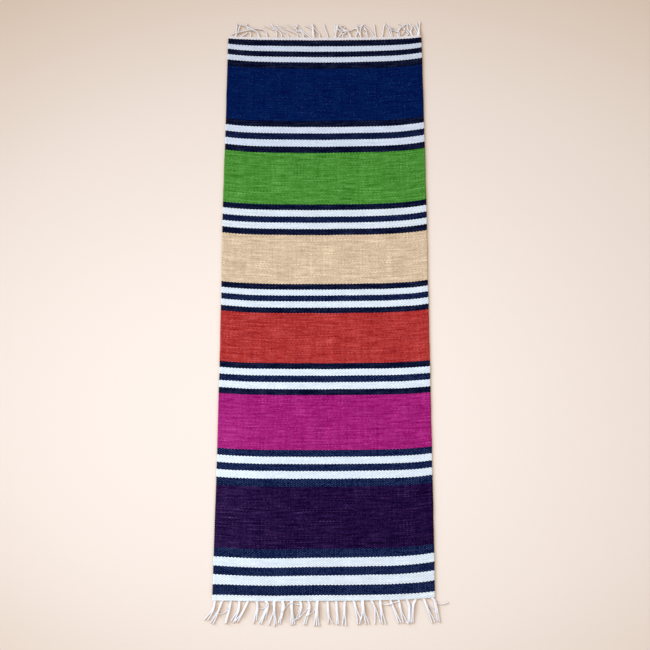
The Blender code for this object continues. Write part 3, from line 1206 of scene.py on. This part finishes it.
FAR_LOCKS = (
    Lock(-278, ((3, 16),), ((5, 44),)),
    Lock(-276, ((6, 16),), ((14, 42),)),
    Lock(-259, ((8, 6),), ((19, 16),)),
    Lock(-231, ((2, 9),), ((-2, 18),)),
    Lock(-206, ((-2, 11), (-11, 20), (-28, 24), (-50, 18)), ((-83, 7),)),
    Lock(-203, ((-4, 13), (-15, 22), (-37, 28)), ((-39, 46),)),
    Lock(-179, ((-2, 15), (-11, 25), (-33, 29), (-55, 28)), ((-73, 40),)),
    Lock(-150, ((0, 16), (-6, 26)), ((-20, 44),)),
    Lock(-133, ((-3, 13), (-14, 25)), ((-33, 44),)),
    Lock(-112, ((-6, 13), (-19, 22)), ((-39, 44),)),
    Lock(-84, ((-3, 11), (-14, 18), (-31, 26)), ((-53, 42),)),
    Lock(-66, ((-3, 14), (-12, 21), (-22, 23), (-24, 33)), ((-19, 44),)),
    Lock(-44, ((-11, 10), (-25, 22), (-37, 33)), ((-48, 44),)),
    Lock(-37, ((-1, 16), (-3, 30)), ((-25, 42),)),
    Lock(-34, ((-2, 20),), ((-7, 46),)),
    Lock(-16, ((-2, 13), (-11, 23), (-23, 40)), ((-20, 46),)),
    Lock(8, ((-2, 13), (-8, 28)), ((-12, 46),)),
    Lock(30, ((5, 16),), ((5, 42),)),
    Lock(34, ((-2, 16),), ((-4, 44),)),
    Lock(41, ((6, 9), (11, 16)), ((2, 23),)),
    Lock(53, ((3, 11),), ((12, 18),)),
    Lock(78, ((-4, 11), (-12, 20), (-28, 22), (-39, 28)), ((-40, 44),)),
    Lock(80, ((-4, 11), (-13, 20), (-24, 27)), ((-37, 41),)),
    Lock(95, ((2, 11), (6, 23)), ((2, 42),)),
    Lock(112, ((-6, 14), (-12, 26), (-20, 31), (-31, 25)), ((-44, 20),)),
    Lock(111, ((-3, 16), (0, 33)), ((9, 46),)),
    Lock(131, ((-4, 13), (-3, 21)), ((-11, 37),)),
    Lock(153, ((-8, 14), (-19, 28)), ((-34, 44),)),
    Lock(156, ((-1, 16),), ((-4, 44),)),
    Lock(175, ((4, 15),), ((9, 44),)),
    Lock(203, ((-2, 12), (-8, 27)), ((-19, 45),)),
    Lock(207, ((-2, 17),), ((-11, 39),)),
    Lock(225, ((1, 14), (8, 29)), ((25, 41),)),
    Lock(228, ((2, 12), (-9, 19)), ((-27, 25),)),
    Lock(250, ((7, 9), (-3, 22)), ((-16, 31),)),
    Lock(268, ((-5, 12), (-11, 22)), ((-14, 41),)),
    Lock(271, ((-6, 15), (-2, 29)), ((-12, 44),)),
    Lock(288, ((-4, 12),), ((-17, 37),)),
    Lock(289, ((-1, 17),), ((-6, 44),)),
    Lock(291, ((0, 20),), ((3, 46),)),
)

FAR_THREADS = (
    Thread(((-232, 30), (-240, 36), (-258, 40), (-276, 44))),
    Thread(((-150, 24), (-168, 30), (-190, 40))),
    Thread(((-60, 6), (-74, 22), (-96, 30), (-118, 46))),
    Thread(((52, 30), (62, 34), (57, 41), (46, 38))),
    Thread(((134, 4), (126, 22), (108, 36), (98, 46))),
    Thread(((196, 28), (210, 30), (222, 22))),
    Thread(((236, 5), (246, 20), (240, 36), (226, 46))),
)


@dataclass
class Fringe:
    """The warp ends beyond one heading, as twisted yarns that lie on the floor.

    Attributes:
        name: Name of the piece.
        outward: 1 at the far end and -1 at the near end.
        yarn: Thickness of a yarn in metres.
    """

    name: str
    outward: float
    yarn: float
    rings: int = 46
    fineness: int = 8
    sides: int = 12
    plies: int = 2
    ply_depth: float = 0.15
    twist_pitch: float = 0.011
    twist_start: float = 1.7
    root_depth: float = 0.0030
    root_out: float = 0.0015
    root_lean: float = 0.1
    root_pitch: float = 0.62
    crowding: float = 0.75
    root_stretch: float = 0.22
    root_height: float = 0.8
    tip_share: float = 0.86
    tip_reach: Pair = (-0.3, 0.6)
    thread_share: float = 0.7
    uneven: float = 0.07
    uneven_waves: float = 9.0
    squash: float = 0.66
    pile_limit: float = 0.0080
    tight_stretch: float = 0.35
    tightness: Pair = (0.45, 0.92)
    bell_reach: int = 6
    bell_width: float = 2.6
    hump: float = 1.25
    least_lift: float = 0.8
    wander: float = 0.0007
    wander_waves: float = 4.0
    strand_steps: Pair = (1.37, 2.3)
    seed: int = 31

    def edge_y(self, x: Array) -> Array:
        """Give the y of the heading's outer edge at x."""
        end_y = CHART.far_y if self.outward > 0.0 else CHART.near_y
        return CHART.place(np.asarray(x, float) / HALF_WIDTH, end_y)[1]

    def path(self, knots: Array) -> Array:
        """Carry a smooth line through knots, with its points evenly spaced.

        The line is a Catmull-Rom curve: between knots 1 and 2 it is half of 2 p1 +
        (p2 - p0) t + (2 p0 - 5 p1 + 4 p2 - p3) t^2 + (3 p1 - p0 - 3 p2 + p3) t^3.

        Args:
            knots: Two or more points, one row each.
        Returns:
            As many points as the yarn has rings.
        """
        ends = (2.0 * knots[:1] - knots[1:2], knots, 2.0 * knots[-1:] - knots[-2:-1])
        p = np.concatenate(ends)
        t = np.linspace(0.0, len(knots) - 1.0, self.fineness * self.rings)
        i = np.minimum(t.astype(int), len(knots) - 2)
        t = (t - i)[:, None]
        p0, p1, p2, p3 = p[i], p[i + 1], p[i + 2], p[i + 3]
        curve = 2.0 * p1 + (p2 - p0) * t + (2.0 * p0 - 5.0 * p1 + 4.0 * p2 - p3) * t**2
        curve = 0.5 * (curve + (3.0 * p1 - p0 - 3.0 * p2 + p3) * t**3)
        steps = np.linalg.norm(np.diff(curve, axis=0), axis=1)
        along = np.concatenate(([0.0], np.cumsum(steps)))
        even = np.linspace(0.0, along[-1], self.rings)
        return np.stack([np.interp(even, along, column) for column in curve.T], axis=1)

    def lock_paths(self, locks: tuple[Lock, ...]) -> Array:
        """Lay the yarns of all locks in plan: side by side at the root, apart at the tips.

        Args:
            locks: The fringe's locks.
        Returns:
            Paths in plan, one for each yarn, as x and y in metres.
        """
        paths = []
        for lock in locks:
            count = len(lock.tips)
            pitch = self.yarn * self.root_pitch * (1.0 if count < 3 else self.crowding)
            for number, tip in enumerate(lock.tips):
                beside = (number - (count - 1) / 2.0) * pitch
                root = lock.root * MM + beside
                lean = self.root_lean * lock.way[0][0] * MM
                knots = [(root, -self.root_depth), (root + lean, self.root_out)]
                knots.extend((root + right * MM, out * MM) for right, out in lock.way)
                knots.append((lock.root * MM + tip[0] * MM, tip[1] * MM))
                paths.append(self.path(np.array(knots)))
        return self.to_floor(np.array(paths))

    def thread_paths(self, threads: tuple[Thread, ...]) -> Array:
        """Lay loose threads in plan.

        Args:
            threads: The fringe's loose threads.
        Returns:
            Paths in plan, one for each thread, as x and y in metres.
        """
        paths = [self.path(np.array(thread.points) * MM) for thread in threads]
        return self.to_floor(np.array(paths))

    def to_floor(self, paths: Array) -> Array:
        """Turn places out from the edge into places on the floor, and let the yarns wander.

        The wandering is soft noise along each yarn, nothing at its root and full at its tip.
        """
        share = np.linspace(0.0, 1.0, self.rings)[None, :]
        number = np.arange(len(paths))[:, None] + self.seed
        strand = number * self.strand_steps[0]
        sway = self.wander * np.sqrt(share) * soft_noise(share * self.wander_waves, strand, self.seed)
        x = paths[..., 0] + sway
        y = self.edge_y(paths[..., 0]) + self.outward * paths[..., 1]
        return np.stack((x, y), axis=-1)

    def settle(self, paths: Array, radius: Array, lying: list[tuple[Array, Array]]) -> Array:
        """Let yarns down on the floor one after another, each over those already there.

        A yarn is pressed flatter by squash, and its axis is its radius * squash above the
        floor. Where it passes a lower yarn within reach, which is the sum of both radii *
        tightness, it is lifted to squash * sqrt(reach^2 - distance^2) above that one, but not
        past pile_limit, where the loose yarns sink into each other. The lift is spread along
        the yarn by a bell curve, which makes a long low hump. The tightness is least at the
        roots, which are pulled taut and hardly pile up.

        Args:
            paths: Paths in plan, one for each yarn.
            radius: Radius of each yarn at each of its points.
            lying: Points and radii of the yarns already on the floor, added to by this call.
        Returns:
            Paths with their height.
        """
        offsets = np.arange(-self.bell_reach, self.bell_reach + 1)
        bell = np.exp(-0.5 * (offsets / self.bell_width) ** 2)
        bell /= bell.sum()
        share = np.linspace(0.0, 1.0, self.rings)
        loose = np.interp(share, (0.0, self.tight_stretch), self.tightness)
        settled = []
        for path, thick in zip(paths, radius):
            resting = self.squash * thick
            need = resting
            if lying:
                others = np.concatenate([points for points, _ in lying])
                widths = np.concatenate([sizes for _, sizes in lying])
                apart = np.linalg.norm(path[:, None, :] - others[None, :, :2], axis=2)
                reach = loose[:, None] * (thick[:, None] + widths[None, :])
                above = self.squash * np.sqrt(np.maximum(reach**2 - apart**2, 0.0))
                over = np.where(apart < reach, others[None, :, 2] + above, 0.0)
                need = np.maximum(need, over.max(axis=1))
            lift = np.minimum(need, self.pile_limit) - resting
            wide = np.pad(lift, self.bell_reach, mode="edge")
            spread = np.convolve(wide, bell, mode="valid")
            height = resting + np.maximum(spread * self.hump, lift * self.least_lift)
            points = np.column_stack((path, height))
            settled.append(points)
            lying.append((points, thick))
        return np.array(settled)

    def hang_roots(self, paths: Array, radius: Array) -> Array:
        """Lift the yarns' first stretch to the middle of the heading they come out of.

        The lift falls as (1 - s)^2, where s runs from 0 to 1 over root_stretch of the yarn.
        """
        share = np.linspace(0.0, 1.0, self.rings)[None, :]
        fall = np.clip(1.0 - share / self.root_stretch, 0.0, 1.0) ** 2
        height = paths[..., 2]
        middle = np.maximum(HEADING_THICKNESS * 0.5, self.squash * radius)
        middle = np.maximum(middle, height * self.root_height)
        paths[..., 2] = height * (1.0 - fall) + middle * fall
        return paths

    def tubes(self, paths: Array, radius: Array) -> tuple[Array, Array, list[Array]]:
        """Wrap twisted yarns round paths.

        The section at turn a and place s is a squashed circle whose radius swings by ply_depth
        * cos(plies * (a - 2 pi s / pitch)), which shows the plies winding along the yarn.

        Args:
            paths: Paths of the yarns' axes.
            radius: Radius at each point of them.
        Returns:
            Points, their yarn attribute, and faces.
        """
        tangent = np.gradient(paths, axis=1)
        tangent /= np.linalg.norm(tangent, axis=2, keepdims=True)
        side = np.cross(tangent, (0.0, 0.0, 1.0))
        side /= np.linalg.norm(side, axis=2, keepdims=True)
        up = np.cross(side, tangent)
        steps = np.linalg.norm(np.diff(paths, axis=1), axis=2)
        along = np.pad(np.cumsum(steps, axis=1), ((0, 0), (1, 0)))
        count = len(paths)
        number = np.arange(count)[:, None, None]
        turn = np.arange(self.sides)[None, None, :] * 2.0 * math.pi / self.sides
        wind = 2.0 * math.pi * along[..., None] / self.twist_pitch + number * self.twist_start
        size = radius[..., None] * (1.0 + self.ply_depth * np.cos(self.plies * (turn - wind)))
        ring = (np.cos(turn) * size)[..., None] * side[:, :, None, :]
        rise = (np.sin(turn) * size * self.squash)[..., None] * up[:, :, None, :]
        ring = paths[:, :, None, :] + ring + rise
        ring[..., 2] = np.maximum(ring[..., 2], 0.0)
        both = [0, -1]
        beyond = radius[:, both, None] * np.array(self.tip_reach)[:, None]
        tips = paths[:, both] + tangent[:, both] * beyond
        points = np.concatenate((ring.reshape(count, -1, 3), tips), axis=1)
        columns = np.broadcast_arrays(turn - wind, along[..., None] / MM, number)
        place = np.stack(columns, axis=-1).reshape(count, -1, 3)
        tip_columns = np.broadcast_arrays(0.0, along[:, both] / MM, number[..., 0])
        places = np.concatenate((place, np.stack(tip_columns, axis=-1)), axis=1)

        per_yarn = self.rings * self.sides + 2
        base = np.arange(count)[:, None, None] * per_yarn
        row = np.arange(self.rings - 1)[None, :, None] * self.sides
        column = np.arange(self.sides)[None, None, :]
        following = (column + 1) % self.sides
        a, b = base + row + column, base + row + following
        walls = np.stack((a, b, b + self.sides, a + self.sides), axis=-1).reshape(-1, 4)
        start, end = base[..., 0], base[..., 0] + (self.rings - 1) * self.sides
        column, following = column[0], following[0]
        root_tip, tip = start + per_yarn - 2, start + per_yarn - 1
        caps = ((root_tip, start + following, start + column), (tip, end + column, end + following))
        faces = [walls, *(np.stack(np.broadcast_arrays(*cap), axis=-1).reshape(-1, 3) for cap in caps)]
        return points.reshape(-1, 3), places.reshape(-1, 3), faces

    def build(self, locks: tuple[Lock, ...], threads: tuple[Thread, ...]) -> list[Piece]:
        """Make the fringe's yarns and its loose threads as two pieces.

        Args:
            locks: The fringe's locks.
            threads: The fringe's loose threads.
        Returns:
            The yarns and the threads.
        """
        share = np.linspace(0.0, 1.0, self.rings)[None, :]
        lying: list[tuple[Array, Array]] = []
        pieces = []
        taper = 1.0 - (1.0 - self.tip_share) * share**3
        kinds = (
            ("yarns", self.lock_paths(locks), self.yarn),
            ("threads", self.thread_paths(threads), self.yarn * self.thread_share),
        )
        for label, paths, thickness in kinds:
            strand = np.arange(len(paths))[:, None] * self.strand_steps[1]
            uneven = 1.0 + self.uneven * soft_noise(share * self.uneven_waves, strand, self.seed + 1)
            radius = thickness / 2.0 * taper * uneven
            laid = self.settle(paths, radius, lying)
            if label == "yarns":
                laid = self.hang_roots(laid, radius)
            points, places, faces = self.tubes(laid, radius)
            piece = new_piece(f"{self.name}_{label}", points, faces)
            store(piece, "yarn", places)
            pieces.append(piece)
        return pieces


@dataclass
class Studio:
    """The pale floor with a painted pool of light and painted contact shadow, the soft lights and the
    camera above the rug.
    """

    floor_size: float = 14.0
    floor_drop: float = 0.0002
    floor_light_falloff: Pair = (0.7, 1.7)
    floor_stretch: float = 0.68
    floor_roughness: float = 0.95
    floor_specular: float = 0.05
    floor_painted_lit_middle: Srgb = (235, 223, 215)
    floor_painted_shaded_rim: Srgb = (214, 192, 171)
    painted_contact_shadow_tone: Triple = (0.60, 0.35, 0.05)
    painted_contact_shadow_reach: float = 0.014
    painted_contact_shadow_samples: int = 8
    painted_light_spot: Pair = (0.09, -0.11)
    lamp_spot: Pair = (-0.26, -0.32)
    camera_place: Triple = (0.00136, -0.52962, 2.28885)
    camera_tilt: float = 11.27
    camera_turn: float = 0.08
    lens: float = 45.0
    sensor: float = 36.0
    key_from: Triple = (-0.81, 0.59, 0.36)
    key_colour: Triple = (0.80, 1.0, 1.20)
    key_strength: float = 2.85
    key_spread: float = 28.0
    lamp_height: float = 1.1
    lamp_colour: Triple = (0.87, 1.0, 1.13)
    lamp_power: float = 8.6
    lamp_size: Pair = (2.2, 1.3)
    sky_colour: Triple = (1.22, 1.0, 0.78)
    sky: float = 0.49

    def floor(self) -> Piece:
        """Lay the floor just under the rug. Its colour is a painted pool of light that fades to a
        darker rim, with painted contact shadow, browner and darker where the rug hides its sky.
        """
        half = self.floor_size / 2.0
        corners = np.array([(-half, -half), (half, -half), (half, half), (-half, half)])
        points = np.column_stack((corners, np.full(4, -self.floor_drop)))
        floor = new_piece("studio_floor", points, [np.array([[0, 1, 2, 3]])], smooth=False)
        material, tree, shader = new_material("pale_floor")
        place = tree.add("TexCoord").outputs["Object"]
        # Painted light: the floor is palest round a spot near the rug and fades to a darker rim, a
        # painted pool of light.
        centred = tree.vector("SUBTRACT", place, (*self.painted_light_spot, 0.0))
        away = tree.length(tree.vector("MULTIPLY", centred, (self.floor_stretch, 1.0, 1.0)))
        share = tree.fade(away, *self.floor_light_falloff)
        colour = tree.blend(share, linear(self.floor_painted_lit_middle), linear(self.floor_painted_shaded_rim))
        # Painted shadow: the floor's colour turns browner and darker where the rug and its fringe hide
        # the sky, a painted contact shadow.
        reach = {"Distance": self.painted_contact_shadow_reach}
        open_sky = tree.add("AmbientOcclusion", reach, samples=self.painted_contact_shadow_samples).outputs["AO"]
        painted_contact_shadow = tree.blend(open_sky, (*self.painted_contact_shadow_tone, 1.0), (1.0, 1.0, 1.0, 1.0))
        tree.feed(shader.inputs["Base Color"], tree.blend(1.0, colour, painted_contact_shadow, "MULTIPLY"))
        shader.inputs["Roughness"].default_value = self.floor_roughness
        shader.inputs["Specular IOR Level"].default_value = self.floor_specular
        floor.data.materials.append(material)
        return floor

    def light(
        self, name: str, kind: str, place: Vector, toward: Vector, energy: float
    ) -> bpy.types.Light:
        """Hang a light and aim it.

        Args:
            name: Name of the light.
            kind: Blender's name for its kind.
            place: Where it hangs.
            toward: The point that it looks at.
            energy: Its power in watts, or a sun's strength.
        Returns:
            The light's data, for its spread.
        """
        data = bpy.data.lights.new(name, kind)
        data.energy = energy
        lamp = bpy.data.objects.new(name, data)
        bpy.context.scene.collection.objects.link(lamp)
        lamp.location = place
        lamp.rotation_euler = (place - toward).to_track_quat("Z", "Y").to_euler()
        return data

    def lights(self) -> None:
        """Light the rug by a low soft key from the far left and a wide round lamp above it."""
        key = self.light("key_light", "SUN", Vector(self.key_from), Vector(), self.key_strength)
        key.angle = math.radians(self.key_spread)
        key.color = self.key_colour
        spot = Vector((*self.lamp_spot, 0.0))
        above = spot + Vector((0.0, 0.0, self.lamp_height))
        lamp = self.light("round_lamp", "AREA", above, spot, self.lamp_power)
        lamp.color = self.lamp_colour
        lamp.shape = "ELLIPSE"
        lamp.size, lamp.size_y = self.lamp_size

    def camera(self) -> None:
        """Place the camera above the near half, tilted a little towards the far end."""
        data = bpy.data.cameras.new("camera")
        data.lens = self.lens
        data.sensor_width = self.sensor
        camera = bpy.data.objects.new("camera", data)
        bpy.context.scene.collection.objects.link(camera)
        camera.location = self.camera_place
        camera.rotation_euler = (math.radians(self.camera_tilt), 0.0, math.radians(self.camera_turn))
        bpy.context.scene.camera = camera

    def build(self) -> None:
        """Make the floor, the lights, the sky and the camera.

        The noise filter takes the colours as they are. Otherwise it smears beads and teeth
        that are only a pixel or two wide.
        """
        self.floor()
        self.lights()
        bpy.context.scene.cycles.denoising_prefilter = "NONE"
        world = bpy.data.worlds.new("soft_sky")
        world.use_nodes = True
        background = world.node_tree.nodes["Background"]
        background.inputs["Color"].default_value = (*self.sky_colour, 1.0)
        background.inputs["Strength"].default_value = self.sky
        bpy.context.scene.world = world
        bpy.context.scene.view_settings.view_transform = "Standard"
        bpy.context.scene.view_settings.look = "None"
        self.camera()


def main() -> None:
    """Build the rug piece by piece, then the studio."""
    logging.basicConfig(level=logging.INFO, format="%(name)s: %(message)s")
    LOG.info("frame: %s", sorted(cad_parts))
    Studio().build()

    tones = tone_group()
    weave = WeaveFinish().material(CHART, bead_group(), tones)
    warp = YarnFinish().material(tones)

    far_seam = CHART.stripes[0].picks
    near_seam = CHART.stripes[-1].first_pick
    cloth = WovenCloth("cloth", far_seam, near_seam - 1).build()
    dress(cloth, weave, Finish.STRIPED_WEFT, "woven_cloth")
    far_heading = WovenCloth("far_heading", 0, far_seam - 1).build()
    dress(far_heading, weave, Finish.WARP_COTTON, "far_fringe")
    near_heading = WovenCloth("near_heading", near_seam, CHART.picks - 1).build()
    dress(near_heading, weave, Finish.WARP_COTTON, "near_fringe")

    far_fringe = Fringe("far", outward=1.0, yarn=0.0044).build(FAR_LOCKS, FAR_THREADS)
    for piece in far_fringe:
        dress(piece, warp, Finish.WARP_COTTON, "far_fringe")
    near_fringe = Fringe("near", outward=-1.0, yarn=0.0046).build(NEAR_LOCKS, NEAR_THREADS)
    for piece in near_fringe:
        dress(piece, warp, Finish.WARP_COTTON, "near_fringe")

    flat = (2.0 * HALF_WIDTH, sum(section.length() for section in SECTIONS))


if __name__ == "__main__":
    main()
